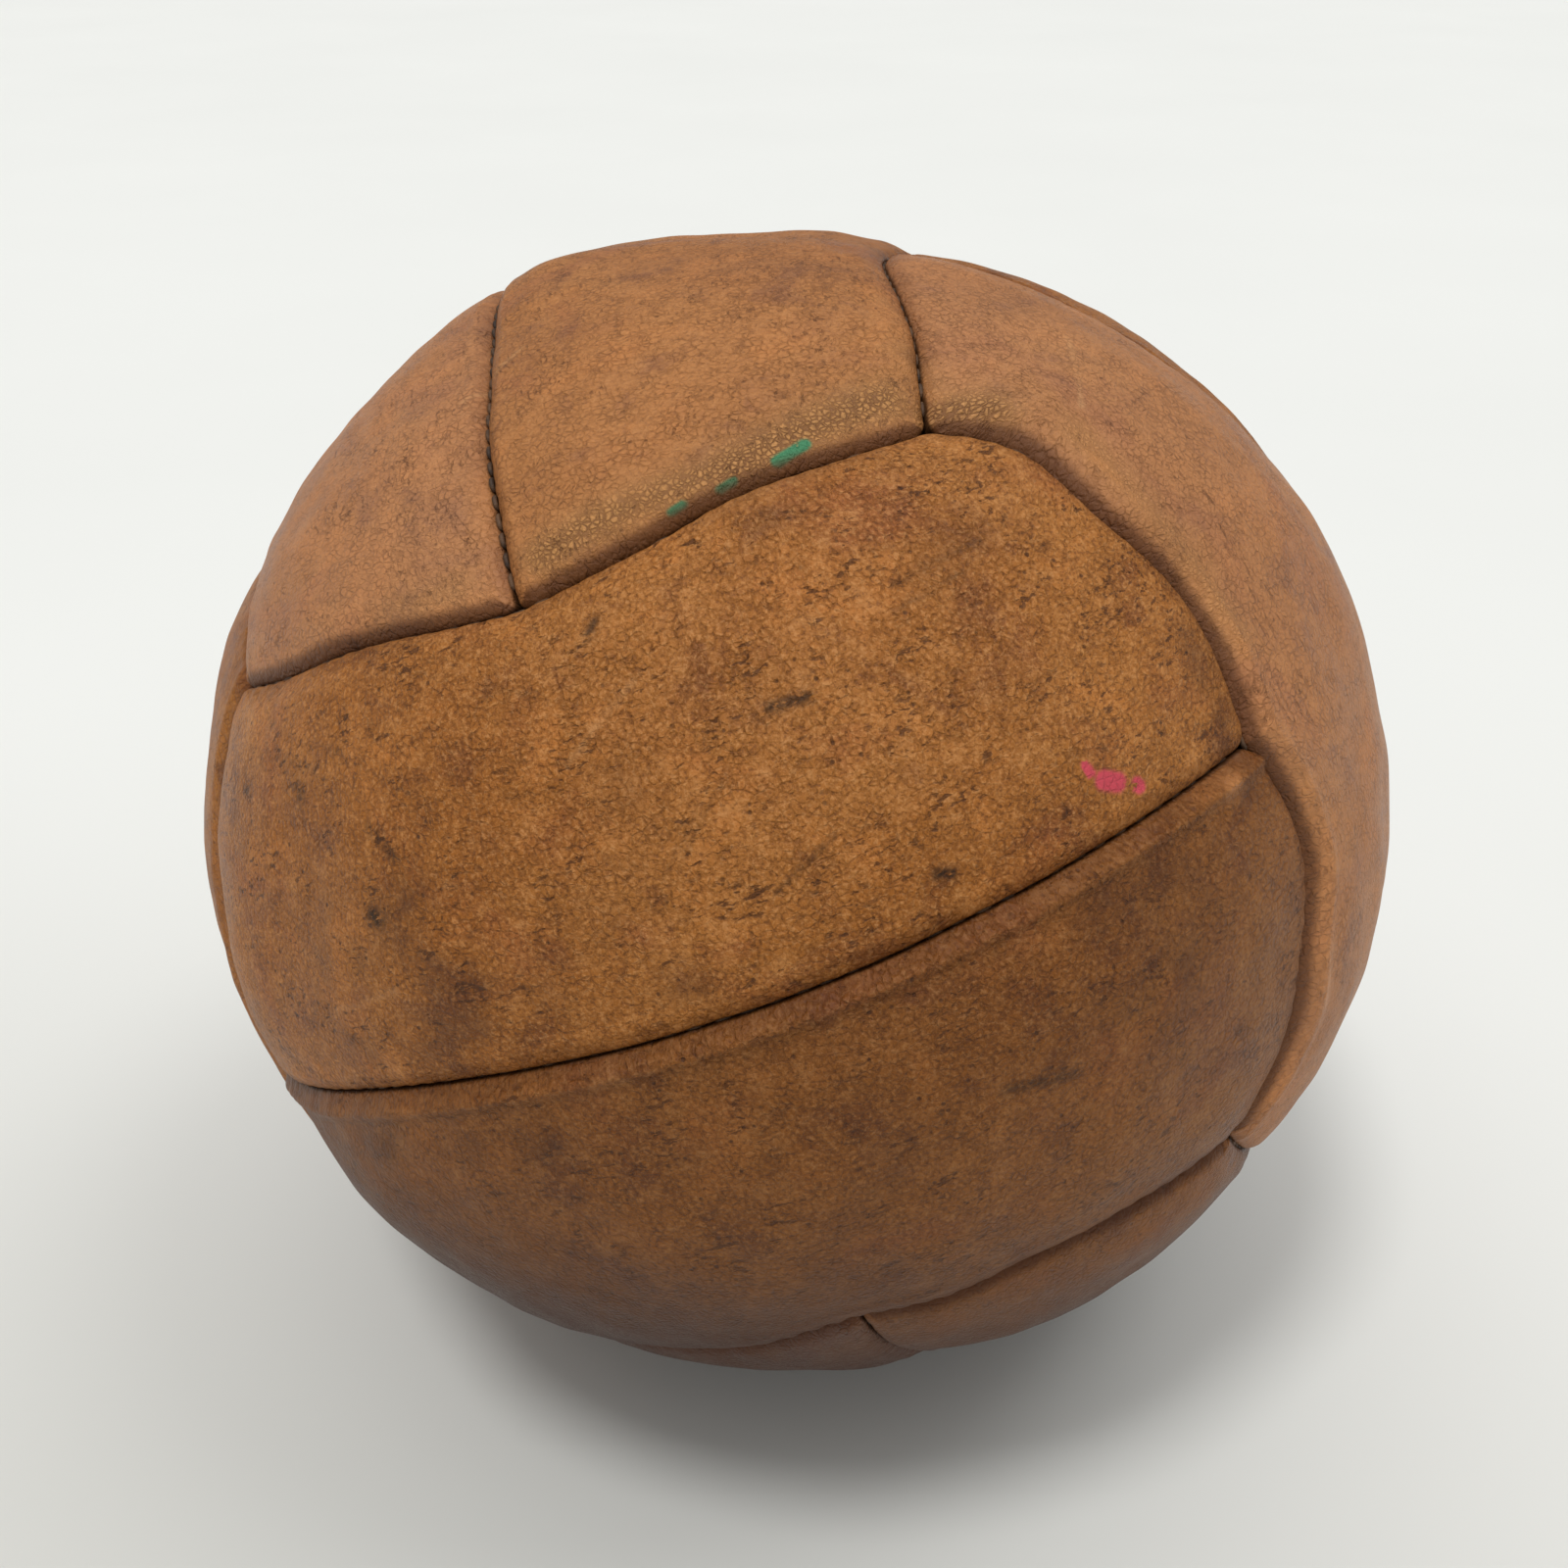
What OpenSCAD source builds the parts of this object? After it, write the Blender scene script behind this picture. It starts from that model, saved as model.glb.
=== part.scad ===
// Leather medicine ball: twelve hand-sewn panels round a solid stuffing.
// The panels lie in six pairs, one pair on each face of a cube blown up to a sphere.
// Every seam is a flat circle: a great circle down the middle of a pair, and the
// circle of a cap between two faces. Neighbouring pairs run at right angles.

/* [Ball] */
// Diameter of the ball
ball_d = 260; // [240:1:290]
// How far the ball has settled onto its base
settle = 1.4; // [0.6:0.1:1.5]
// Turn of the pattern about X, Y and Z as the ball lies
pattern_turn = [-12, -25.4, -5.4]; // [-180:0.1:180]

/* [Leather] */
// Thickness of the leather
leather_t = 3.2; // [2.6:0.1:4]
// Width of the bevel along each seam's edge
bevel_w = 2; // [1:0.1:2.4]
// Depth of the edge turned inward at a seam, below the leather
turned_depth = 6; // [4:0.5:9]
// Thickness of the turned edge, which is pared down
turned_t = 2; // [1.2:0.1:2.5]
// Gap between two panels' edges
seam_gap = 0.4; // [0.2:0.1:0.6]

/* [Lining and stuffing] */
// Thickness of the canvas behind each panel
canvas_t = 1; // [0.6:0.1:1.5]
// Room left between pieces that lie against each other
slack = 0.1; // [0.05:0.05:0.2]

/* [Thread] */
// Thickness of the waxed thread
thread_d = 0.9; // [0.6:0.1:1]
// Distance from one stitch to the next
stitch_pitch = 4.8; // [4:0.1:6]
// Length of thread seen in each stitch
stitch_len = 3.7; // [2.5:0.1:3.8]
// Length left without stitches at each end of a seam
seam_end = 4; // [3:0.5:6]

/* [Hidden] */
$fn = 144;
ball_r = ball_d / 2;
centre_h = ball_r - settle;

// A cap circle passes through four corners of the cube, at this angle from its axis.
cap_angle = acos(1 / sqrt(3));
// Turned about its cap's axis, an edge seam runs a quarter of the way round.
edge_span = 90;
// A middle seam runs across its face from one neighbouring cap to the other.
middle_span = 2 * cap_angle;
middle_angle = 90;

// A round surface starts and ends on a line at this angle, clear of the first panel.
start_line = 120;

// The thread lies in the groove between two bevels, this far from the ball's centre.
thread_line_r = ball_r - bevel_w - seam_gap / 2 + (thread_d / 2 + slack) * sqrt(2);

// The first panel's face looks along -Y, and the others are turned copies of it:
// a third of a turn about the cube's diagonal, then half a turn about an axis.
// Each entry is a panel's name, its long seam's name, the third turns and the half turn.
NO_TURN = [0, 0, 0];
TURNS = [
    ["front_upper", "front_top",    0, NO_TURN],
    ["front_lower", "front_bottom", 0, [0, 180, 0]],
    ["back_upper",  "back_top",     0, [0, 0, 180]],
    ["back_lower",  "back_bottom",  0, [180, 0, 0]],
    ["bottom_right", "bottom_right", 1, NO_TURN],
    ["bottom_left",  "bottom_left",  1, [0, 0, 180]],
    ["top_right",    "top_right",    1, [180, 0, 0]],
    ["top_left",     "top_left",     1, [0, 180, 0]],
    ["left_back",   "left_back",    2, NO_TURN],
    ["left_front",  "left_front",   2, [180, 0, 0]],
    ["right_front", "right_front",  2, [0, 0, 180]],
    ["right_back",  "right_back",   2, [0, 180, 0]]
];
// Each face's middle seam, with the turns of one of its two panels.
MIDDLES = [
    ["front", 0, NO_TURN],
    ["back", 0, [0, 0, 180]],
    ["bottom", 1, NO_TURN],
    ["top", 1, [180, 0, 0]],
    ["left", 2, NO_TURN],
    ["right", 2, [0, 0, 180]]
];

function panel_node(turn) = str("panel_", turn[0]);
function lining_node(turn) = str("lining_", turn[0]);
function edge_thread_node(turn) = str("thread_", turn[1]);
function middle_thread_node(middle) = str("thread_", middle[0], "_middle");

// A point one away from the centre, in a half-plane through +Z, at this angle from +Z.
function unit_at(angle) = [sin(angle), cos(angle)];

// Places a shape, made for the first panel, where the panel with these turns lies.
module turned(thirds, half_turn) {
    rotate(pattern_turn)
        rotate(half_turn)
            rotate(a = 120 * thirds, v = [1, 1, 1])
                children();
}

// Lifts the ball, modelled about its centre, so that it rests on the floor.
module on_floor() {
    translate([0, 0, centre_h]) children();
}

// The settled ball, taken in all round by depth: a sphere with a flat base.
module ball_form(depth) {
    intersection() {
        sphere(r = ball_r - depth);
        translate([-ball_r, -ball_r, depth - centre_h])
            cube([ball_d, ball_d, ball_d]);
    }
}

// The space inside a cap circle's cone, about +Z, moved in by inset. It leaves out the
// cone's tip, at the ball's centre.
module cap_cone(inset) {
    low = 0.45 * ball_r;
    high = 1.2 * ball_r;
    translate([0, 0, low + inset / sin(cap_angle)])
        rotate(start_line)
            cylinder(
                h = high - low,
                r1 = low * tan(cap_angle),
                r2 = high * tan(cap_angle)
            );
}

// Turns a shape made about +Z to lie about -Y.
module about_front() {
    rotate([90, 0, 0]) rotate(start_line) children();
}

// The first panel's share of the ball, moved in from its seams by inset.
module panel_cell(inset) {
    difference() {
        intersection() {
            about_front() cap_cone(inset);
            translate([-ball_d, -ball_d, inset]) cube([2 * ball_d, 2 * ball_d, ball_d]);
        }
        cap_cone(-inset);
    }
}

// The space that a panel keeps to when its edge is bevelled along the seam circle at
// this angle from +Z. side is 1 for a panel outside the circle and -1 for one inside.
module bevel_cone(angle, side) {
    // where the bevel leaves the seam's side of the panel
    start = (ball_r - bevel_w) * unit_at(angle)
        - side * seam_gap / 2 * [-cos(angle), sin(angle)];
    lean = angle + side * 45;
    tip_h = start.y - start.x / tan(lean);
    height = abs(tip_h) + 1.2 * ball_r;
    translate([0, 0, tip_h])
        mirror([0, 0, lean > 90 ? 1 : 0])
            rotate(start_line)
                cylinder(h = height, r1 = 0, r2 = height * abs(tan(lean)));
}

module panel(turn) {
    color([0.56, 0.33, 0.16])
        on_floor()
            difference() {
                intersection() {
                    difference() {
                        ball_form(0);
                        ball_form(leather_t + turned_depth);
                    }
                    turned(turn[2], turn[3]) panel_cell(seam_gap / 2);
                    turned(turn[2], turn[3]) about_front() bevel_cone(cap_angle, -1);
                    turned(turn[2], turn[3]) bevel_cone(cap_angle, 1);
                    turned(turn[2], turn[3]) bevel_cone(middle_angle, -1);
                }
                intersection() {
                    ball_form(leather_t);
                    turned(turn[2], turn[3]) panel_cell(seam_gap / 2 + turned_t);
                }
            }
}

// Canvas stuck behind a panel, between its turned edges.
module lining(turn) {
    color([0.76, 0.70, 0.56])
        on_floor()
            difference() {
                intersection() {
                    ball_form(leather_t + slack);
                    turned(turn[2], turn[3]) panel_cell(seam_gap / 2 + turned_t + slack);
                }
                ball_form(leather_t + slack + canvas_t);
            }
}

// The stitches of one seam, along a circle at this angle from +Z, about the -Y side.
module seam_thread(angle, span) {
    ring_r = thread_line_r * sin(angle);
    end_angle = seam_end / ring_r * 180 / PI;
    step_wanted = stitch_pitch / ring_r * 180 / PI;
    steps = floor((span - 2 * end_angle) / step_wanted);
    step = (span - 2 * end_angle) / steps;
    for (i = [0:steps])
        rotate([0, 0, -90 - span / 2 + end_angle + i * step])
            translate([ring_r, 0, thread_line_r * cos(angle)])
                rotate([90, 0, 0])
                    cylinder(h = stitch_len, d = thread_d, center = true, $fn = 24);
}

module edge_thread(turn) {
    color([0.25, 0.15, 0.09])
        on_floor()
            turned(turn[2], turn[3]) seam_thread(cap_angle, edge_span);
}

module middle_thread(middle) {
    color([0.25, 0.15, 0.09])
        on_floor()
            turned(middle[1], middle[2]) seam_thread(middle_angle, middle_span);
}

// The part of the stuffing that fills a panel up to its canvas.
module pad(turn) {
    // runs a little way down into the rest of the stuffing
    rooted = 2;
    difference() {
        intersection() {
            ball_form(leather_t + canvas_t + 2 * slack);
            turned(turn[2], turn[3]) panel_cell(seam_gap / 2 + turned_t + 2 * slack);
        }
        ball_form(leather_t + turned_depth + rooted);
    }
}

// One mass of hair and cloth waste, with a low pad under each panel.
module stuffing() {
    color([0.45, 0.38, 0.30])
        on_floor() {
            ball_form(leather_t + turned_depth + slack);
            for (t = TURNS) pad(t);
        }
}

for (t = TURNS)
    panel(t);
for (t = TURNS)
    lining(t);
for (t = TURNS)
    edge_thread(t);
for (m = MIDDLES)
    middle_thread(m);
stuffing();
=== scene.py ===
"""An old stuffed leather medicine ball, hand-sewn from twelve long panels.

The ball's pattern has its own directions: the front panels face -Y, with +X to the
right and +Z up. Places on it are given as on a globe, in degrees: longitude 0 is the
middle of the front and grows to the right, and latitude grows upward.
"""

import math

import bmesh
import bpy
import numpy as np
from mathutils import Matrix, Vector


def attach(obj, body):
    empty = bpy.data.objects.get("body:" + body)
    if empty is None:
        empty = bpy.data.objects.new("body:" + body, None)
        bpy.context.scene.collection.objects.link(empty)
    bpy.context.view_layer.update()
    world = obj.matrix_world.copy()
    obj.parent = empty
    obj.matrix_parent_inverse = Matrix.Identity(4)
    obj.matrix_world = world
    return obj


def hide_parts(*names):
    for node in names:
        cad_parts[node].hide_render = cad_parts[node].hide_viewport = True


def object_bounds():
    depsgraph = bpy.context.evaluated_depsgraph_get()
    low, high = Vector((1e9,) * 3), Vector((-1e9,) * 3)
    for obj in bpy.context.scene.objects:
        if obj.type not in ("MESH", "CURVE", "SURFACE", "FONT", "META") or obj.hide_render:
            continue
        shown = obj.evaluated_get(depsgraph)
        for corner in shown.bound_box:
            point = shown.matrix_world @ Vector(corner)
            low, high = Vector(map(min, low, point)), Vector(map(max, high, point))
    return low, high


MM = 0.001

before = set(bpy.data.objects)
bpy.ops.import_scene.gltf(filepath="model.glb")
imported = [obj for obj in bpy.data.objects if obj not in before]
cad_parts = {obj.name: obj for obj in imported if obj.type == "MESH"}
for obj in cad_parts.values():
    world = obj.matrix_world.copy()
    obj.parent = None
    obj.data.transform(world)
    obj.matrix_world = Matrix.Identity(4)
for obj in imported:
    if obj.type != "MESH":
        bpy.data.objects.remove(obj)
cad_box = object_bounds()

# ---------------------------------------------------------------- the ball's sizes

BALL_R = (cad_box[1][0] - cad_box[0][0]) / 2
R_MM = BALL_R / MM
CAD_CENTRE = np.array([0.0, 0.0, cad_box[1][2] - BALL_R])

# How the pattern lies in the world: its turns in degrees about X, then Y, then Z.
PATTERN_TURN = (-12.0, -25.4, -5.4)

# Two panels make a face. Its middle seam runs along its own latitude 0, its long seams
# along CAP_LATITUDE, and its end seams are CAP_ANGLE away from its middle.
CAP_ANGLE = math.acos(1 / math.sqrt(3))
CAP_LATITUDE = math.pi / 2 - CAP_ANGLE
SEAM_GAP = 0.4 * MM
LEATHER_T = 3.2 * MM
CANVAS_T = 1.0 * MM
STITCH_PITCH = 4.8 * MM
STITCH_LEN = 3.9 * MM
THREAD_R = 0.5 * MM

# The stuffed ball is a little wider than it is tall, and settles onto its base.
WIDE = 1.013
TALL = 0.972
SETTLE = 2.6 * MM

# Over how much height leather that nears the floor is flattened.
SOFT_LANDING = 0.8 * MM

# Each panel: its name, its long seam's name, thirds of a turn about the cube's
# diagonal, and the axis of the half turn that follows, as signs of X, Y and Z.
PANELS = (
    ("front_upper", "front_top", 0, (1, 1, 1)),
    ("front_lower", "front_bottom", 0, (-1, 1, -1)),
    ("back_upper", "back_top", 0, (-1, -1, 1)),
    ("back_lower", "back_bottom", 0, (1, -1, -1)),
    ("bottom_right", "bottom_right", 1, (1, 1, 1)),
    ("bottom_left", "bottom_left", 1, (-1, -1, 1)),
    ("top_right", "top_right", 1, (1, -1, -1)),
    ("top_left", "top_left", 1, (-1, 1, -1)),
    ("left_back", "left_back", 2, (1, 1, 1)),
    ("left_front", "left_front", 2, (1, -1, -1)),
    ("right_front", "right_front", 2, (-1, -1, 1)),
    ("right_back", "right_back", 2, (-1, 1, -1)),
)
# Each middle seam: its face's name, and the same two turns.
MIDDLES = (
    ("front", 0, (1, 1, 1)),
    ("back", 0, (-1, -1, 1)),
    ("bottom", 1, (1, 1, 1)),
    ("top", 1, (1, -1, -1)),
    ("left", 2, (1, 1, 1)),
    ("right", 2, (-1, -1, 1)),
)

# Where sewing has pulled the seams off their circles: longitude, latitude, the pull to
# the right and up in mm, and how far it reaches in mm.
PULLS = (
    (-22, 35, 0.0, 4.8, 30),
    (25, 35, 0.0, 4.4, 27),
    (-45, 35, -2.4, 3.2, 20),
    (45, 35, -1.6, -1.0, 10),
    (52, 30, 6.6, 2.6, 14),
    (54, 14, 3.8, 0.0, 20),
    (56, -12, 7.0, -1.0, 18),
    (54, -27, 6.4, -3.0, 18),
    (-22, 0, 0.0, 3.6, 55),
    (-55, 0, 1.5, 1.5, 20),
    (0, -35, 2.5, 4.0, 12),
    (22, -35, 0.0, 2.5, 20),
    (0, 85, -9.6, 0.0, 52),
    (0, 52, -2.2, 0.0, 28),
    (85, 56, -0.5, 4.0, 25),
    (54, 44, 1.2, -0.8, 16),
    (-16, -36, 0.0, -2.5, 20),
)
# A middle seam's end tugs the seam that it meets into a notch: longitude and latitude,
# the pull to the right and up in mm, and the notch's half width in mm.
NOTCHES = (
    (54.7, 0, -2.4, 0.0, 7),
    (0, 35.3, 0.0, -0.6, 8),
)
# A notch fades along the seam, and over this many of its half widths all round.
NOTCH_REACH = 3
# Lumps and dents in the round of the ball: longitude, latitude, height and reach in mm.
LUMPS = (
    (75, 62, -1.0, 36),
    (-40, 84, 4.6, 26),
    (-95, 42, 2.6, 34),
    (-84, -24, -2.6, 42),
    (62, 52, 1.0, 30),
    (80, 10, 1.4, 40),
    (-30, -50, -1.8, 34),
    (30, -62, -1.6, 40),
    (75, -40, -1.0, 26),
)


def turn_matrix(thirds, signs):
    """The turn from the first panel to another, as a matrix."""
    third = np.array([[0, 0, 1], [1, 0, 0], [0, 1, 0]], float)
    return np.diag(signs) @ np.linalg.matrix_power(third, thirds)


def rotation(degrees):
    """The matrix that turns about X, then Y, then Z."""
    a, b, c = (math.radians(d) for d in degrees)
    about_x = np.array([[1, 0, 0], [0, math.cos(a), -math.sin(a)], [0, math.sin(a), math.cos(a)]])
    about_y = np.array([[math.cos(b), 0, math.sin(b)], [0, 1, 0], [-math.sin(b), 0, math.cos(b)]])
    about_z = np.array([[math.cos(c), -math.sin(c), 0], [math.sin(c), math.cos(c), 0], [0, 0, 1]])
    return about_z @ about_y @ about_x


LIE = rotation(PATTERN_TURN)


def globe(longitude, latitude):
    """The direction at a longitude and latitude in degrees, in the pattern's axes."""
    a, b = math.radians(longitude), math.radians(latitude)
    return np.array([math.sin(a) * math.cos(b), -math.cos(a) * math.cos(b), math.sin(b)])


def right_and_up(longitude, latitude):
    """The unit vectors to the right and up along the ball at a place on it."""
    a, b = math.radians(longitude), math.radians(latitude)
    right = np.array([math.cos(a), math.sin(a), 0.0])
    up = np.array([-math.sin(a) * math.sin(b), math.cos(a) * math.sin(b), math.cos(b)])
    return right, up


def unit(vectors):
    return vectors / np.linalg.norm(vectors, axis=-1, keepdims=True)


def pulled(directions):
    """Moves directions along the ball as the sewing has pulled the leather."""
    shift = np.zeros_like(directions)
    for longitude, latitude, to_right, to_up, reach in PULLS:
        right, up = right_and_up(longitude, latitude)
        away = np.linalg.norm(directions - globe(longitude, latitude), axis=-1) * BALL_R
        weight = np.exp(-((away / (reach * MM)) ** 2))
        shift += weight[..., None] * (to_right * right + to_up * up) * MM / BALL_R
    for longitude, latitude, to_right, to_up, half_width in NOTCHES:
        right, up = right_and_up(longitude, latitude)
        tug = unit(to_right * right + to_up * up)
        across = np.cross(globe(longitude, latitude), tug)
        offset = (directions - globe(longitude, latitude)) * BALL_R
        aside = np.abs(offset @ across)
        away = np.linalg.norm(offset, axis=-1)
        near = np.exp(-((away / (NOTCH_REACH * half_width * MM)) ** 2))
        weight = np.exp(-aside / (half_width * MM)) * near
        shift += weight[..., None] * (to_right * right + to_up * up) * MM / BALL_R
    return unit(directions + shift)


def ball_radius(directions):
    """The stuffed ball's radius in world directions, without its seams."""
    flat = directions[..., 0] ** 2 + directions[..., 1] ** 2
    radius = BALL_R / np.sqrt(flat / WIDE**2 + directions[..., 2] ** 2 / TALL**2)
    for longitude, latitude, height, reach in LUMPS:
        place = LIE @ globe(longitude, latitude)
        away = np.linalg.norm(directions - place, axis=-1) * BALL_R
        radius = radius + height * MM * np.exp(-((away / (reach * MM)) ** 2))
    return radius


# ---------------------------------------------------------------- the leather's form

# How each kind of panel's edges roll down into its seams: width and depth in mm.
ROLLS = {
    "front": {"middle": (1.7, 1.5), "long": (1.3, 1.2), "end": (1.8, 1.6)},
    "back": {"middle": (1.7, 1.5), "long": (1.3, 1.2), "end": (1.8, 1.6)},
    "top": {"middle": (3.0, 2.5), "long": (2.8, 2.2), "end": (4.6, 2.6)},
    "bottom": {"middle": (2.0, 1.8), "long": (2.2, 1.8), "end": (4.0, 2.4)},
    "left": {"middle": (2.0, 1.8), "long": (4.0, 2.8), "end": (3.0, 2.2)},
    "right": {"middle": (2.0, 1.8), "long": (4.5, 3.2), "end": (3.0, 2.2)},
}

# The radius in mm that rounds a panel's corners in plan, beside each kind of seam.
CORNER_AT_MIDDLE = 2.6
CORNER_AT_LONG = 2.4

# How far in mm the leather's rim is turned in, and how wide the turned-in part is.
RIM_DEPTH = 6.0
RIM_WIDTH = 2.8

# A panel's middle stands CROWN mm above the plain ball. Near its seams it is drawn
# down by the share SEAM_PULL of the way to SHOULDER mm below the plain ball.
CROWN = 0.9
SHOULDER = 2.4
SHOULDER_REACH = 9.0
SEAM_PULL = 0.9

# Unevenness of the leather: height and size in mm. The slow waves die out at the seams.
SLOW_WAVES = (0.5, 34)
SMALL_WAVES = ((0.16, 13), (0.05, 5))
WAVE_COUNT = 14

# A ridge beside the middle seam and a lip beside the long seam, in mm: the distance
# from the seam, the half width, and the height by panel or face, or else everywhere.
RIDGE_AT = 3.6
RIDGE_WIDTH = 1.6
RIDGES = {"front_lower": 1.5}
LOW_RIDGE = 0.35
LIP_AT = 6.0
LIP_WIDTH = 2.0
LIPS = {"right": 0.9, "left": 0.9}
LOW_LIP = 0.3

# Puckers beside the stitches, in mm, and how much slow waves shift and strengthen them.
PUCKER_HEIGHT = 0.13
PUCKER_CHANGE = 0.06
PUCKER_REACH = 2.6
PUCKER_DRIFT = 0.9
PUCKER_WAVES = 14

# The steps of a panel's grid in mm: fine within FINE_REACH of a seam, coarse elsewhere.
FINE_STEP = 0.35
FINE_REACH = 5.0
COARSE_STEP = 0.9


def waves(points, size, seed):
    """Smooth seeded unevenness of about one unit, with bumps of about the given size."""
    rng = np.random.default_rng(seed)
    result = np.zeros(points.shape[:-1])
    for _ in range(WAVE_COUNT):
        way = rng.normal(size=3)
        way *= math.pi * rng.uniform(0.7, 1.4) / (size * np.linalg.norm(way))
        result += np.sin(points @ way + rng.uniform(0, 2 * math.pi))
    return result * math.sqrt(2 / WAVE_COUNT)


def steps(length):
    """Distances from 0 to a length in mm, closer together near both ends."""
    fine = np.arange(0, FINE_REACH, FINE_STEP)
    count = math.ceil((length - 2 * FINE_REACH) / COARSE_STEP)
    middle = np.linspace(FINE_REACH, length - FINE_REACH, count)
    return np.concatenate([fine, middle, length - fine[::-1]])


def first_panel_grid():
    """A grid of directions over the first panel, row by row from its middle seam."""
    half_gap = SEAM_GAP / 2 / BALL_R
    across = steps(R_MM * (CAP_LATITUDE - 2 * half_gap)) / R_MM + half_gap
    along = steps(2 * R_MM * CAP_ANGLE)
    along = along / along[-1] * 2 - 1
    latitude = np.repeat(across[:, None], len(along), axis=1)
    end = np.arccos(math.cos(CAP_ANGLE - half_gap) / np.cos(latitude))
    longitude = along[None, :] * end
    return direction(longitude, latitude)


def direction(longitude, latitude):
    """Directions from arrays of longitudes and latitudes in radians."""
    return np.stack(
        [
            np.cos(latitude) * np.sin(longitude),
            -np.cos(latitude) * np.cos(longitude),
            np.sin(latitude),
        ],
        axis=-1,
    )


def seam_distances(points):
    """How far directions of the first panel are from its middle, long and end seams, in mm."""
    latitude = np.arcsin(np.clip(points[..., 2], -1, 1))
    from_front = np.arccos(np.clip(-points[..., 1], -1, 1))
    return (
        np.maximum(latitude * R_MM, 0),
        np.maximum((CAP_LATITUDE - latitude) * R_MM, 0),
        np.maximum((CAP_ANGLE - from_front) * R_MM, 0),
    )


def along_ball(points, toward):
    """The unit vectors along the ball at each direction, toward a fixed one."""
    return unit(toward - (points @ toward)[..., None] * points)


def round_corners(points, kind):
    """Rounds the first panel's corners in plan.

    Gives the moved directions, the distance from the rounded edge, and the roll's width
    and depth there, all in mm.
    """
    middle, long, end = seam_distances(points)
    near_middle = middle < long
    side = np.where(near_middle, middle, long)
    size = np.where(near_middle, CORNER_AT_MIDDLE, CORNER_AT_LONG)
    q_side = np.clip(1 - side / size, 0, 1)
    q_end = np.clip(1 - end / size, 0, 1)
    new_side = q_side * np.sqrt(1 - q_end**2 / 2)
    new_end = q_end * np.sqrt(1 - q_side**2 / 2)
    up = along_ball(points, np.array([0.0, 0.0, 1.0]))
    front = along_ball(points, np.array([0.0, -1.0, 0.0]))
    inward = np.where(near_middle, 1.0, -1.0)[..., None] * up
    shift = (size * (q_side - new_side))[..., None] * inward
    shift += (size * (q_end - new_end))[..., None] * front
    moved = unit(points + shift / R_MM)
    inset = np.hypot(new_side, new_end)
    edge = np.where(inset > 0, size * (1 - inset), np.minimum(side, end))
    share = np.where(inset > 0, new_end**2 / np.maximum(inset, 1e-6) ** 2, end < side)
    rolls = ROLLS[kind]
    wide = np.where(near_middle, rolls["middle"][0], rolls["long"][0])
    deep = np.where(near_middle, rolls["middle"][1], rolls["long"][1])
    wide = wide + (rolls["end"][0] - wide) * share
    deep = deep + (rolls["end"][1] - deep) * share
    return moved, edge, wide, deep


def puckers(points, seed):
    """Small ripples that the stitches draw up beside each seam, in mm."""
    middle, long, end = seam_distances(points)
    longitude = np.arctan2(points[..., 0], -points[..., 1])
    about_front = np.arctan2(points[..., 2], points[..., 0])
    runs = (
        (middle, longitude * R_MM),
        (long, longitude * R_MM * math.cos(CAP_LATITUDE)),
        (end, about_front * R_MM * math.sin(CAP_ANGLE)),
    )
    uneven = waves(points * R_MM, PUCKER_WAVES, seed)
    result = np.zeros(points.shape[:-1])
    for away, run in runs:
        phase = 2 * math.pi * run / (STITCH_PITCH / MM) + PUCKER_DRIFT * uneven
        result += np.cos(phase) * np.exp(-away / PUCKER_REACH)
    return result * (PUCKER_HEIGHT + PUCKER_CHANGE * uneven)


def panel_heights(points, name, seed):
    """The height of a panel's leather over the plain ball, in mm, away from its edges."""
    middle, long, end = seam_distances(points)
    open_area = np.ones(points.shape[:-1])
    for away in (middle, long, end):
        open_area *= 1 - SEAM_PULL * np.exp(-away / SHOULDER_REACH)
    height = CROWN - (CROWN + SHOULDER) * (1 - open_area)
    spots = points * R_MM
    tall, size = SLOW_WAVES
    height += tall * waves(spots, size, seed) * open_area
    for k, (tall, size) in enumerate(SMALL_WAVES, start=1):
        height += tall * waves(spots, size, seed + k)
    ridge = RIDGES.get(name, LOW_RIDGE)
    height += ridge * np.exp(-(((middle - RIDGE_AT) / RIDGE_WIDTH) ** 2))
    lip = LIPS.get(face_of(name), LOW_LIP)
    height += lip * np.exp(-(((long - LIP_AT) / LIP_WIDTH) ** 2))
    height += puckers(points, seed + 1 + len(SMALL_WAVES))
    return height


def stand(points, depth_mm):
    """World places of pattern directions, at a depth in mm under the ball's surface.

    What would reach below the floor is flattened softly onto it.
    """
    turned = pulled(points) @ LIE.T
    radius = ball_radius(turned) - depth_mm * MM
    places = CAD_CENTRE - np.array([0, 0, SETTLE]) + turned * radius[..., None]
    places[..., 2] = (places[..., 2] + np.hypot(places[..., 2], SOFT_LANDING)) / 2
    return places


# ---------------------------------------------------------------- meshes


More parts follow.
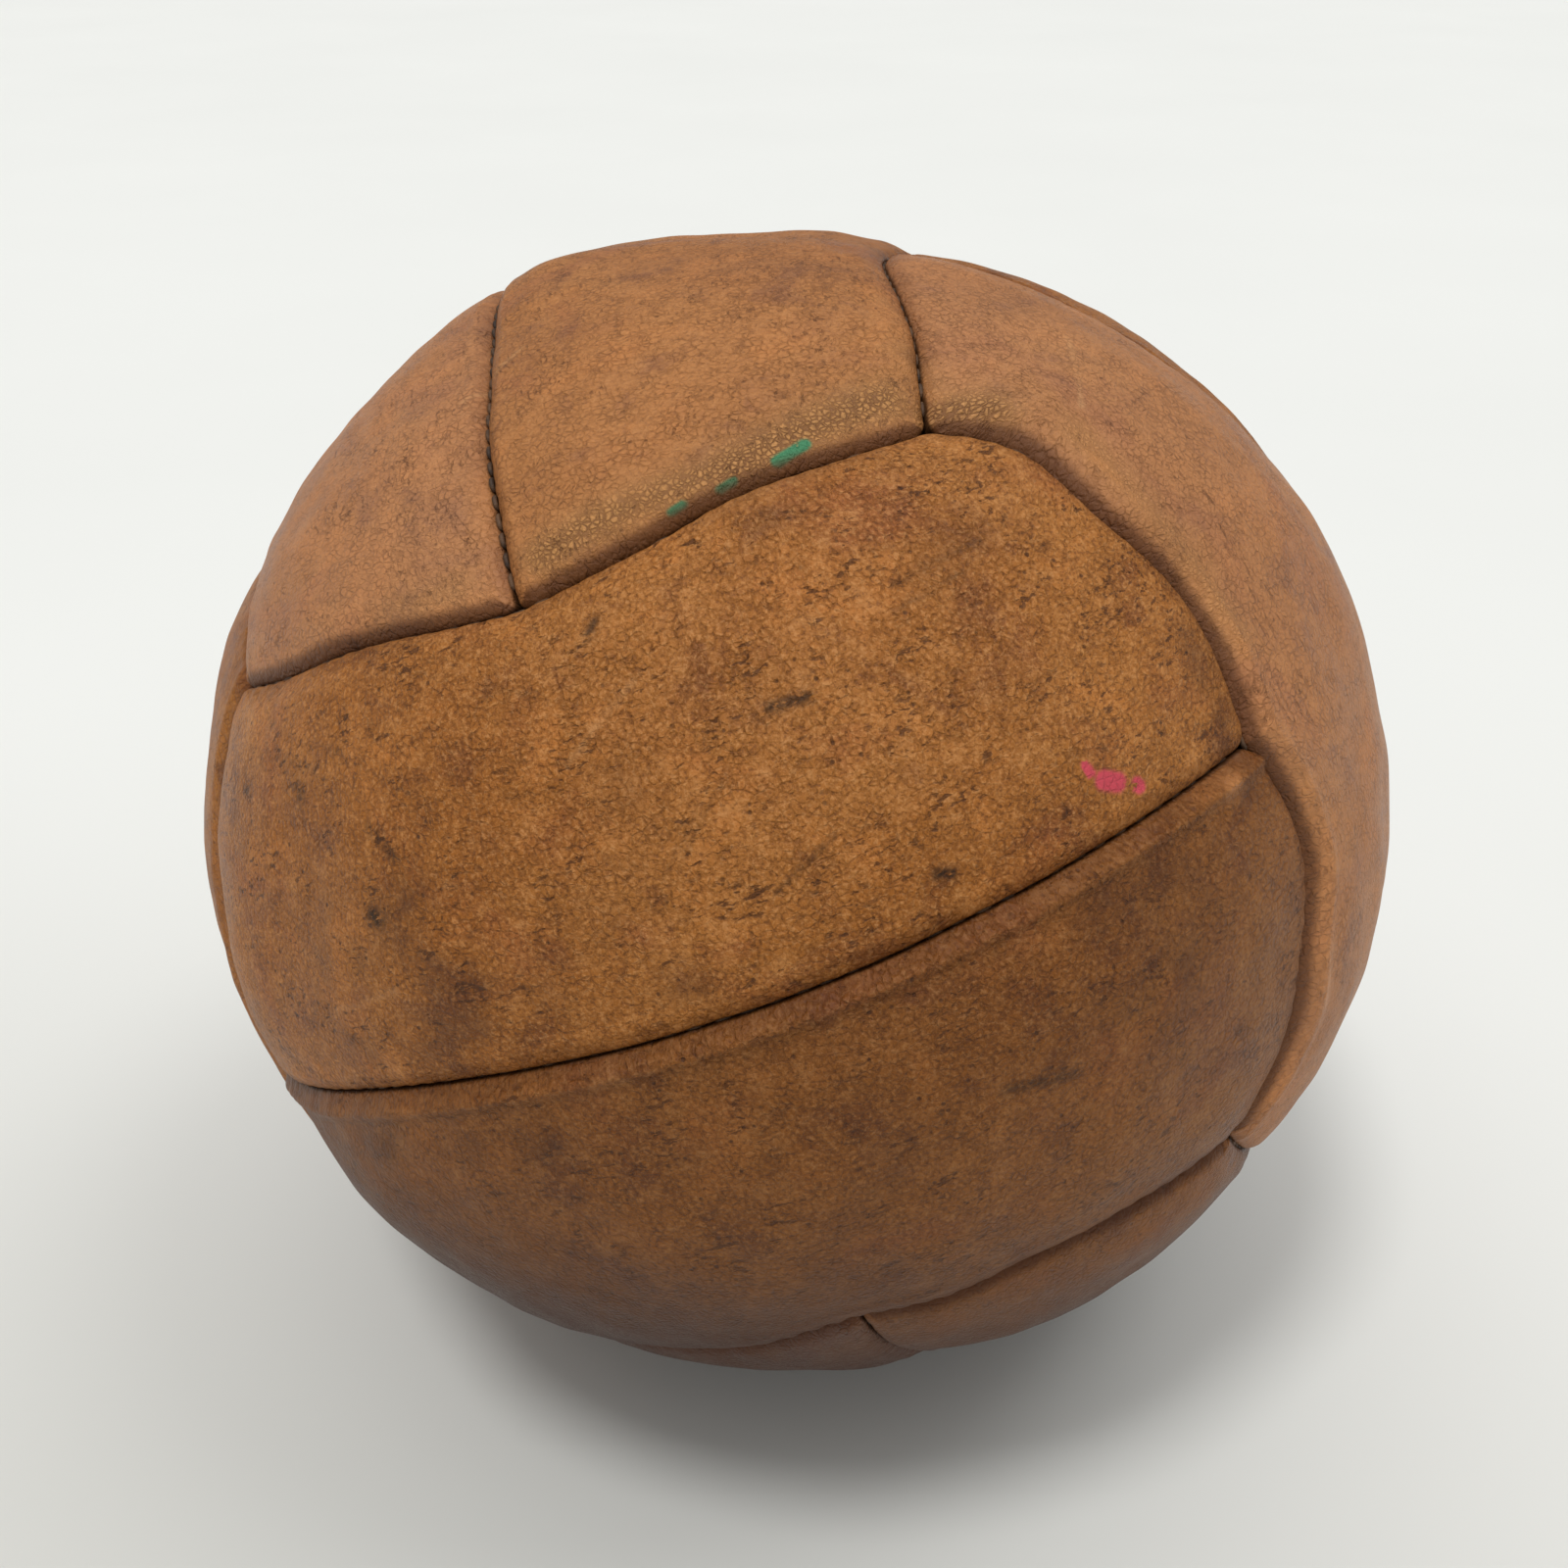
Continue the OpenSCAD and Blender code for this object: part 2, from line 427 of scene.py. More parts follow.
def make_mesh(name, places, faces, material, attributes=None):
    """A smooth mesh object from arrays of places and of four-sided faces.

    Attributes are arrays with a number or a vector for each place, by name.
    """
    mesh = bpy.data.meshes.new(name)
    mesh.vertices.add(len(places))
    mesh.vertices.foreach_set("co", np.ascontiguousarray(places, np.float32).ravel())
    mesh.loops.add(faces.size)
    mesh.loops.foreach_set("vertex_index", np.ascontiguousarray(faces, np.int32).ravel())
    mesh.polygons.add(len(faces))
    mesh.polygons.foreach_set("loop_start", np.arange(0, faces.size, 4, dtype=np.int32))
    mesh.update(calc_edges=True)
    mesh.validate()
    mesh.polygons.foreach_set("use_smooth", np.ones(len(mesh.polygons), bool))
    for key, values in (attributes or {}).items():
        kind = "FLOAT_VECTOR" if values.ndim == 2 else "FLOAT"
        field = "vector" if values.ndim == 2 else "value"
        layer = mesh.attributes.new(key, kind, "POINT")
        layer.data.foreach_set(field, np.ascontiguousarray(values, np.float32).ravel())
    mesh.materials.append(material)
    piece = bpy.data.objects.new(name, mesh)
    bpy.context.scene.collection.objects.link(piece)
    return piece


def grid_faces(rows, columns, first=0, flip=False):
    """Faces of a grid whose points are numbered row by row."""
    number = first + np.arange(rows * columns).reshape(rows, columns)
    corners = [number[:-1, :-1], number[:-1, 1:], number[1:, 1:], number[1:, :-1]]
    if flip:
        corners.reverse()
    return np.stack(corners, axis=-1).reshape(-1, 4)


def rim(rows, columns):
    """The numbers of a grid's rim points, once round."""
    number = np.arange(rows * columns).reshape(rows, columns)
    sides = [number[0, :-1], number[:-1, -1], number[-1, :0:-1], number[:0:-1, 0]]
    return np.concatenate(sides)


def shell(outer, inner, between):
    """Joins two grids of places with walls, and gives the places and faces.

    Between are the wall's rows of places along the rim, from outer to inner.
    """
    rows, columns = outer.shape[:2]
    count = rows * columns
    edge = rim(rows, columns)
    places = [outer.reshape(-1, 3), inner.reshape(-1, 3)]
    loops = [edge]
    for k, row in enumerate(between):
        places.append(row)
        loops.append(2 * count + k * len(edge) + np.arange(len(edge)))
    loops.append(count + edge)
    faces = [grid_faces(rows, columns), grid_faces(rows, columns, count, flip=True)]
    for upper, lower in zip(loops, loops[1:]):
        faces.append(np.stack([upper, lower, np.roll(lower, -1), np.roll(upper, -1)], axis=-1))
    return np.concatenate(places), np.concatenate(faces)


# ---------------------------------------------------------------- marks of use and painted highlights

# Each mark runs between two places on the pattern's globe, in degrees, with its half
# width in mm and its strength.
MARKS = {
    "smear": (
        ((-30, 9), (-24, 17), 4.0, 0.45),
        ((-24, 12), (-14, 17), 5.0, 0.6),
        ((-20, 4), (-12, 8), 6.0, 0.55),
        ((-16, 13), (-12, 5), 5.0, 0.5),
        ((-27.5, 6.5), (-26, 5), 4.0, 0.5),
        ((-6, 8), (1, 10.5), 4.0, 0.4),
        ((3, 4), (5, 3), 3.5, 0.4),
        ((-50, -3.6), (-30, -3.8), 1.8, 0.8),
        ((-34, -2.8), (-12, -4.6), 3.4, 0.8),
        ((12, -4.4), (46, -4.0), 1.6, 0.4),
        ((34, -4), (44, -5), 5.0, 0.6),
        ((35, -15), (43, -8), 6.0, 0.6),
        ((31, -12.5), (39, -9), 4.0, 0.4),
        ((52.5, 10), (51.5, -2.5), 4.0, 0.7),
        ((13.5, -15), (1.5, -23.5), 5.0, 0.4),
        ((33, 25), (40, 25), 4.0, 0.45),
        ((24, 34), (28, 33.5), 2.0, 0.5),
        ((4, 14), (6, 22), 4.0, 0.35),
    ),
    "grime": (
        ((-19, 16), (-18.5, 15.5), 1.6, 1.0),
        ((-27, 27), (-26.5, 26), 1.3, 0.7),
        ((-37, 28), (-36.6, 27.6), 1.1, 0.7),
        ((-33, 33), (-20, 28.5), 0.4, 0.8),
        ((-31, 30), (-24, 28), 0.35, 0.6),
        ((-17.5, 22.5), (-15, 19.5), 0.7, 0.7),
        ((24, 4.5), (25, 4), 1.0, 1.0),
        ((7.5, 31.5), (6.5, 30.5), 1.0, 0.8),
        ((-21, 38), (-20, 37.5), 1.2, 0.8),
        ((-11, 33), (0, 28), 0.4, 0.6),
        ((18, 20.2), (21, 19.8), 1.1, 0.9),
        ((13, 8), (18.5, 10), 0.5, 0.6),
        ((31, 24.5), (40, 24.5), 0.5, 0.5),
        ((30, 22.5), (37, 23), 0.5, 0.4),
        ((8, 13), (13, 17), 0.4, 0.4),
        ((6, 12), (10, 15.5), 0.4, 0.3),
        ((22.5, -13), (28, -14.5), 1.2, 0.6),
    ),
    "scuff": (
        ((-28, 9), (-19, 10), 0.5, 0.4),
        ((2, 22), (9, 26), 0.5, 0.3),
        ((-8, 60), (4, 64), 0.6, 0.5),
        ((60, 30), (70, 36), 0.6, 0.5),
    ),
    "red": (
        ((38.6, 4.6), (39.8, 3.8), 1.7, 1.0),
        ((41.3, 2.9), (41.5, 2.6), 1.3, 1.0),
        ((37.6, 6.4), (37.8, 5.6), 0.8, 1.0),
    ),
    "green": (
        ((29, 38.4), (32.5, 38.8), 1.2, 0.9),
        ((22.5, 38.2), (24.2, 38.4), 0.9, 0.7),
        ((17.3, 38), (18.7, 38.2), 0.9, 0.7),
    ),
    "pebble": (
        ((4, 39), (24, 39.5), 4.0, 0.9),
        ((24, 39.5), (43, 39.5), 5.0, 1.0),
        ((46.5, 36.5), (52, 34), 4.5, 1.0),
        ((50, 42), (48, 38), 3.5, 0.6),
        ((-6, 39), (-14, 39), 4.0, 0.35),
        ((57, 28), (58, 8), 4.0, 0.5),
    ),
    # Painted highlights along ridges and seam edges, where the leather is also glossier.
    "gloss_and_highlight": (
        ((-50, -1.6), (50, -1.6), 1.9, 1.0),
        ((48, 37.5), (49, 42), 2.0, 0.7),
        ((-2, 37), (-2.5, 50), 1.8, 0.6),
        ((-3, 37), (-30, 37.5), 2.0, 0.5),
        ((56.2, 26), (57.6, 6), 1.6, 0.7),
        ((58, -6), (57.5, -26), 1.6, 0.8),
    ),
}


def painted(points, marks):
    """How strongly marks cover each pattern direction, from 0 to 1."""
    cover = np.zeros(points.shape[:-1])
    for start, stop, half_width, strength in marks:
        a, b = globe(*start), globe(*stop)
        part = np.clip(((points - a) @ (b - a)) / ((b - a) @ (b - a)), 0, 1)
        away = np.linalg.norm(points - (a + part[..., None] * (b - a)), axis=-1) * R_MM
        cover = np.maximum(cover, strength * np.exp(-((away / half_width) ** 2)))
    return cover


# How strongly each face's grain has been worn into flecks.
WEAR = {"front": 1.0, "right": 0.45, "top": 0.55, "left": 0.6, "back": 0.55, "bottom": 0.55}

# Rolls at least this wide, in mm, carry painted shade where they dip into their seams.
WIDE_ROLL = 3.5

# Painted shade darkens the leather near the floor, from the upper height down to the lower one.
GROUND_SHADE = 0.6
GROUND_SHADE_TOP = 125 * MM
GROUND_SHADE_FULL = 40 * MM

# How much lighter or darker each panel's leather is. Above 0 it is a painted sheen and painted light
# on the top and right front panels; below 0 it is partly darker leather and partly painted shade on
# the lower panels.
PANEL_TONES_SHEEN_AND_SHADE = {
    "front_upper": -0.04,
    "front_lower": -0.45,
    "top_right": 0.24,
    "top_left": 0.36,
    "right_front": 0.34,
    "left_front": -0.05,
    "bottom_left": -0.3,
    "bottom_right": -0.3,
}

# Each panel is cut from its own part of the hide, this far in mm from the last one's.
HIDE_STEP = np.array([37.0, 91.0, 53.0])


def low_down(places):
    """How near places are to the floor, from 0 at mid height to 1 below."""
    part = np.clip((GROUND_SHADE_TOP - places[:, 2]) / (GROUND_SHADE_TOP - GROUND_SHADE_FULL), 0, 1)
    return part**2 * (3 - 2 * part)


# ---------------------------------------------------------------- panels and filling

# The rows of places in a panel's wall, as shares of the way in.
WALL_ROWS = (0.2, 0.45, 0.72)

# How far in mm the inside of the leather follows its outside outward.
MOST_BULGE = 0.5

# The lining's distance in mm from the seams and from the leather, and its grid.
LINING_INSET = 3.4
LINING_GAP = 0.3
LINING_ROWS = 25
LINING_COLUMNS = 73

# The stuffing, in mm: its depth under the ball's surface, how much deeper it is at the
# seams and over what reach, and the height and size of its unevenness. Then the points
# along each side of its six grids, and what lies near enough to weld.
STUFFING_DEPTH = 5.2
STUFFING_DIP = 2.5
STUFFING_REACH = 5
STUFFING_WAVES = (0.4, 22)
STUFFING_SEED = 61
STUFFING_POINTS = 48
WELD_REACH = 0.05 * MM


def ride_as(piece, slot, *nodes):
    """Puts a piece on the ball's body, in place of CAD nodes. Its slot is not used."""
    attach(piece, "root")
    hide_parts(*nodes)


def face_of(name):
    """The face that a panel belongs to, from the panel's name."""
    return name.split("_")[0]


def seed_of(number):
    """The first random seed of a panel."""
    return 100 * (number + 1)


def with_rim(values, edge_index):
    """A grid's values for the outside, the flesh side and the rows of the wall."""
    flat = values.reshape(-1, *values.shape[2:])
    return np.concatenate([flat, flat] + [flat[edge_index]] * len(WALL_ROWS))


def panel_form(home, edge, top):
    """A panel's places and faces: its outside, its turned-in rim and its flesh side.

    Home are the grid's directions in the pattern. Edge is the distance from the panel's
    edge, and top the depth of its outside, both in mm.
    """
    thick = LEATHER_T / MM
    rim_near = np.clip(RIM_WIDTH - edge, 0, 1)
    under = thick + (RIM_DEPTH - thick) * rim_near
    base = under + np.maximum(top, -MOST_BULGE)
    edge_index = rim(*home.shape[:2])
    flat = home.reshape(-1, 3)[edge_index]
    rim_top = top.reshape(-1)[edge_index]
    rim_base = base.reshape(-1)[edge_index]
    between = [stand(flat, rim_top + (rim_base - rim_top) * part) for part in WALL_ROWS]
    return shell(stand(home, top), stand(home, base), between)


def make_panel(number, name, thirds, signs, material):
    """One leather panel, with the values that its material reads."""
    turn = turn_matrix(thirds, signs)
    moved, edge, wide, deep = round_corners(first_panel_grid(), face_of(name))
    height = panel_heights(moved, name, seed_of(number))
    ramp = np.clip(1 - edge / wide, 0, 1)
    drop = deep * (1 - np.sqrt(1 - ramp**2))
    home = moved @ turn.T
    places, faces = panel_form(home, edge, drop - height)
    edge_index = rim(*home.shape[:2])
    attributes = {
        "hide": with_rim(moved, edge_index) * R_MM + HIDE_STEP * number,
        "seam": with_rim(edge, edge_index),
        # The tone carries a painted sheen on the top panels and painted shade low down and on the
        # lower panels.
        "tone_sheen_and_shade": PANEL_TONES_SHEEN_AND_SHADE.get(name, 0.0) - GROUND_SHADE * low_down(places),
        "worn": np.full(len(places), WEAR[face_of(name)]),
        # Wide rolls are marked for painted shade.
        "roll_shade": with_rim(ramp * (wide > WIDE_ROLL), edge_index),
    }
    for key, marks in MARKS.items():
        attributes[key] = with_rim(painted(pulled(home), marks), edge_index)
    piece = make_mesh("leather_" + name, places, faces, material, attributes)
    ride_as(piece, "panel_leather", "panel_" + name)


def make_lining(number, name, thirds, signs, material):
    """The canvas lining behind one panel."""
    turn = turn_matrix(thirds, signs)
    inset = LINING_INSET / R_MM
    latitude = np.linspace(inset, CAP_LATITUDE - inset, LINING_ROWS)[:, None]
    end = np.arccos(np.clip(math.cos(CAP_ANGLE - inset) / np.cos(latitude), -1, 1))
    longitude = np.linspace(-1, 1, LINING_COLUMNS)[None, :] * end
    points = direction(longitude, np.broadcast_to(latitude, longitude.shape))
    height = panel_heights(points, name, seed_of(number))
    home = points @ turn.T
    depth = LEATHER_T / MM + LINING_GAP - np.minimum(height, MOST_BULGE)
    outer = stand(home, depth)
    inner = stand(home, depth + CANVAS_T / MM)
    places, faces = shell(outer, inner, [])
    piece = make_mesh("canvas_" + name, places, faces, material)
    ride_as(piece, "lining_canvas", "lining_" + name)


def make_stuffing(material):
    """The stuffing: one round mass under the linings, a little deeper at each seam."""
    count = STUFFING_POINTS
    side = np.tan(np.linspace(-1, 1, count) * math.pi / 4)
    a, b = np.meshgrid(side, side)
    tall, size = STUFFING_WAVES
    places = []
    faces = []
    for k in range(6):
        axis = k % 3
        sign = 1 if k < 3 else -1
        points = np.stack([np.full_like(a, 1.0), sign * a, b], axis=-1)
        points = unit(np.roll(points * np.array([sign, 1, 1]), axis, axis=-1))
        seams = np.sort(np.abs(points), axis=-1)
        away = np.minimum(seams[..., 0], np.abs(seams[..., 1] - math.sqrt(1 / 3))) * R_MM
        depth = STUFFING_DEPTH + STUFFING_DIP * np.exp(-away / STUFFING_REACH)
        depth += tall * waves(points * R_MM, size, STUFFING_SEED)
        places.append(stand(points, depth).reshape(-1, 3))
        faces.append(grid_faces(count, count, k * count * count))
    piece = make_mesh("packed_hair", np.concatenate(places), np.concatenate(faces), material)
    weld(piece)
    ride_as(piece, "hair_stuffing", "stuffing")


def weld(piece):
    """Joins the points that lie together, and turns every face outward."""
    solid = bmesh.new()
    solid.from_mesh(piece.data)
    bmesh.ops.remove_doubles(solid, verts=solid.verts, dist=WELD_REACH)
    bmesh.ops.recalc_face_normals(solid, faces=solid.faces)
    solid.to_mesh(piece.data)
    solid.free()


# ---------------------------------------------------------------- stitches


# The depth in mm of each seam's stitches under the ball's surface.
LONG_DEPTH = 3.7
MIDDLE_DEPTH = 3.8
TOP_MIDDLE_DEPTH = 3.1

# How far in mm a stitch's ends dip into the leather, and its steps along and round.
STITCH_DIP = 1.3
STITCH_STEPS = 9
STITCH_SIDES = 8

# Hand sewing varies a stitch's place and depth in mm, and its length as a share.
PLACE_CHANGE = 0.25
DEPTH_CHANGE = 0.2
SHORTEST = 0.9
LONGEST = 1.05

# The length in mm of each seam that has no stitches, both ends together.
BARE_ENDS = 8

# The random seed of the first middle seam. The long seams' seeds start from 0.
MIDDLE_SEEDS = 50


def stitch(line, depth):
    """One stitch along a short line of directions, dipping at both ends."""
    count = len(line)
    part = np.linspace(-1, 1, count)
    centre = stand(line, depth + STITCH_DIP * part**4)
    along = unit(np.gradient(centre, axis=0))
    out = unit(centre - CAD_CENTRE)
    across = unit(np.cross(along, out))
    out = np.cross(across, along)
    width = THREAD_R * np.sqrt(np.clip(1 - np.abs(part) ** 8, 0.02, 1))
    turn = np.linspace(0, 2 * math.pi, STITCH_SIDES, endpoint=False)[None, :, None]
    ring = across[:, None] * np.cos(turn) + out[:, None] * np.sin(turn)
    places = (centre[:, None] + ring * width[:, None, None]).reshape(-1, 3)
    number = np.arange(count * STITCH_SIDES).reshape(count, STITCH_SIDES)
    after = np.roll(number, -1, axis=1)
    body = np.stack([number[:-1], number[1:], after[1:], after[:-1]], axis=-1).reshape(-1, 4)
    caps = []
    for end in (number[0], number[-1][::-1]):
        for k in range(1, STITCH_SIDES - 2, 2):
            caps.append([end[0], end[k], end[k + 1], end[k + 2]])
    return places, np.concatenate([body, np.array(caps)])


def make_seam(name, line_at, length, turn, material, depth, seed):
    """The stitches of one seam. Line_at gives directions at distances in mm from its middle."""
    rng = np.random.default_rng(seed)
    pitch = STITCH_PITCH / MM
    places = []
    faces = []
    first = 0
    count = int(length // pitch)
    for k in range(count):
        middle = (k - (count - 1) / 2) * pitch + rng.uniform(-PLACE_CHANGE, PLACE_CHANGE)
        half = STITCH_LEN / MM / 2 * rng.uniform(SHORTEST, LONGEST)
        line = line_at(middle + np.linspace(-half, half, STITCH_STEPS)) @ turn.T
        points, quads = stitch(line, depth + rng.uniform(-DEPTH_CHANGE, DEPTH_CHANGE))
        places.append(points)
        faces.append(quads + first)
        first += len(points)
    piece = make_mesh("stitches_" + name, np.concatenate(places), np.concatenate(faces), material)
    ride_as(piece, "seam_thread", "thread_" + name)


def long_line(run):
    """Directions along the first panel's long seam."""
    longitude = run / (R_MM * math.cos(CAP_LATITUDE))
    return direction(longitude, np.full_like(run, CAP_LATITUDE))


def middle_line(run):
    """Directions along the first panel's middle seam."""
    return direction(run / R_MM, np.zeros_like(run))


# ---------------------------------------------------------------- materials


class Nodes:
    """Short words for building a material's nodes."""

    def __init__(self, name):
        self.material = bpy.data.materials.new(name)
        self.material.use_nodes = True
        self.tree = self.material.node_tree
        self.shader = self.tree.nodes["Principled BSDF"]

    def node(self, kind, inputs=None, **settings):
        """A new node. Inputs are numbers or other nodes' sockets, by name or number."""
        made = self.tree.nodes.new("ShaderNode" + kind)
        for key, value in settings.items():
            setattr(made, key, value)
        for key, value in (inputs or {}).items():
            self.put(made.inputs[key], value)
        return made

    def put(self, socket, value):
        if isinstance(value, bpy.types.NodeSocket):
            self.tree.links.new(value, socket)
        else:
            socket.default_value = value

    def read(self, name, vector=False):
        """A value that the mesh carries at each place."""
        made = self.node("Attribute", attribute_name=name)
        return made.outputs["Vector" if vector else "Fac"]

    def noise(self, place, size, detail, rough=0.55, warp=0.0):
        """Cloudy noise from 0 to 1, with clouds of about the given size."""
        inputs = {"Vector": place, "Scale": 1 / size, "Detail": detail}
        inputs.update({"Roughness": rough, "Distortion": warp})
        return self.node("TexNoise", inputs).outputs["Fac"]

    def add(self, a, b):
        return self.node("Math", {0: a, 1: b}, operation="ADD").outputs[0]

    def times(self, a, b):
        return self.node("Math", {0: a, 1: b}, operation="MULTIPLY").outputs[0]

    def most(self, a, b):
        return self.node("Math", {0: a, 1: b}, operation="MAXIMUM").outputs[0]

    def ramp(self, value, low, high, to_low=0.0, to_high=1.0):
        """A smooth change from one value to another as the first goes from low to high."""
        inputs = {"Value": value, "From Min": low, "From Max": high}
        inputs.update({"To Min": to_low, "To Max": to_high})
        return self.node("MapRange", inputs, interpolation_type="SMOOTHSTEP").outputs["Result"]

    def blend(self, share, a, b):
        """Two colours mixed: a where the share is 0, and b where it is 1."""
        made = self.node("Mix", data_type="RGBA")
        self.put(made.inputs["Factor"], share)
        self.put(made.inputs[6], a)
        self.put(made.inputs[7], b)
        return made.outputs[2]

    def wobble(self, place, size, reach):
        """Places shifted a little in every direction, to bend a pattern."""
        inputs = {"Vector": place, "Scale": 1 / size, "Detail": 3.0}
        made = self.node("TexNoise", inputs)
        mid = self.node("VectorMath", {0: made.outputs["Color"], 1: (0.5,) * 3}, operation="SUBTRACT")
        shift = self.node("VectorMath", {0: mid.outputs[0], "Scale": reach}, operation="SCALE")
        return self.node("VectorMath", {0: place, 1: shift.outputs[0]}, operation="ADD").outputs[0]

    def cracks(self, place, size, width):
        """Lines between the cells of a net, 1 on the lines and 0 inside the cells."""
        inputs = {"Vector": place, "Scale": 1 / size}
        made = self.node("TexVoronoi", inputs, feature="DISTANCE_TO_EDGE")
        return self.ramp(made.outputs["Distance"], width, 0.0)

    def pores(self, place, size):
        """Small round dots, 1 at their middles and 0 between them."""
        made = self.node("TexVoronoi", {"Vector": place, "Scale": 1 / size})
        return self.ramp(made.outputs["Distance"], 0.2, 0.08)

    def bump(self, height, distance, strength, normal=None):
        """Adds relief to a normal. The distance is in metres, and negative for hollows."""
        inputs = {"Height": height, "Distance": distance, "Strength": strength}
        if normal is not None:
            inputs["Normal"] = normal
        return self.node("Bump", inputs).outputs["Normal"]

    def stretch(self, place, scale, turn=(0.0, 0.0, 0.0)):
        """Places scaled and turned, to make a pattern longer one way."""
        inputs = {"Vector": place, "Scale": scale, "Rotation": turn}
        return self.node("Mapping", inputs).outputs["Vector"]

    def place_in_mm(self):
        """Places on the piece, in mm."""
        return self.stretch(self.node("TexCoord").outputs["Object"], (1 / MM,) * 3)


def colour(red, green, blue):
    """A colour from sRGB values of 0 to 255, as a shader takes it."""
    linear = [((v / 255 + 0.055) / 1.055) ** 2.4 for v in (red, green, blue)]
    return (*linear, 1.0)


def hide_colour(n, place, mottle):
    """The hide's own colour: tan and brown clouds with a little rose."""
    cloud = n.noise(place, 60, 3, 0.6, 0.6)
    rose = n.noise(place, 30, 4, 0.6, 0.8)
    base = n.blend(n.ramp(cloud, 0.3, 0.7), colour(160, 96, 32), colour(176, 112, 48))
    base = n.blend(n.ramp(mottle, 0.5, 0.68, 0.0, 0.6), base, colour(196, 122, 54))
    base = n.blend(n.ramp(mottle, 0.48, 0.32, 0.0, 0.7), base, colour(116, 62, 24))
    return n.blend(n.ramp(rose, 0.5, 0.7, 0.0, 0.4), base, colour(146, 76, 42))


def worn_colour(n, base, worn, fleck, grain):
    """Light and dark flecks where the grain has been worn."""
    flecks = (
        (n.ramp(fleck, 0.5, 0.7, 0.0, 0.4), colour(208, 146, 84)),
        (n.ramp(fleck, 0.44, 0.3, 0.0, 0.6), colour(100, 54, 18)),
        (n.ramp(grain, 0.5, 0.64, 0.0, 0.42), colour(222, 160, 100)),
        (n.ramp(grain, 0.48, 0.36, 0.0, 0.55), colour(94, 50, 18)),
    )
    for share, paint in flecks:
        base = n.blend(n.times(worn, share), base, paint)
    return base


def tone_sheen_and_shade_colour(n, base):
    """The panel's tone with painted light: above 0 it pales toward rose as a painted sheen, and below
    0 it darkens, partly as painted shade.
    """
    tone_sheen_and_shade = n.read("tone_sheen_and_shade")
    # Painted sheen: pale rose on the top and right front panels.
    base = n.blend(n.ramp(tone_sheen_and_shade, 0.0, 1.0), base, colour(226, 168, 130))
    # Painted shade, together with darker leather: low down and on the lower panels.
    return n.blend(n.ramp(tone_sheen_and_shade, 0.0, -1.0), base, colour(60, 25, 0))


def marked_colour(n, base, dashes, mottle, fleck, place):
    """Stains, grime, scuffs and flecks of paint, where the mesh carries them."""
    broken = n.ramp(fleck, 0.35, 0.6, 0.35, 1.0)
    smear = n.times(n.read("smear"), n.ramp(mottle, 0.35, 0.6, 1.0, 0.3))
    base = n.blend(n.times(smear, broken), base, colour(74, 40, 20))
    grime = n.times(n.read("grime"), n.ramp(n.noise(dashes, 0.8, 3, 0.6), 0.32, 0.5))
    base = n.blend(grime, base, colour(40, 24, 8))
    base = n.blend(n.times(n.read("scuff"), broken), base, colour(214, 164, 112))
    speck = n.ramp(n.noise(place, 5, 5, 0.7), 0.38, 0.44)
    for key, paint in (("red", (214, 78, 92)), ("green", (74, 142, 100))):
        cover = n.times(n.ramp(n.read(key), 0.15, 0.6), speck)
        base = n.blend(cover, base, colour(*paint))
    return base


def seam_colour(n, base, mottle):
    """Dirt beside the seams and down in the gaps, and painted shade on the wide rolls."""
    seam = n.read("seam")
    by_seam = n.ramp(n.add(seam, n.times(mottle, 5.0)), 7.0, 2.5, 0.0, 0.35)
    base = n.blend(by_seam, base, colour(98, 54, 24))
    # Painted shade on the wide rolls that dip into the seams.
    roll_shade = n.ramp(n.read("roll_shade"), 0.1, 0.6, 0.0, 0.72)
    base = n.blend(roll_shade, base, colour(86, 46, 20))
    return n.blend(n.ramp(seam, 0.7, 0.0, 0.0, 0.9), base, colour(30, 16, 8))


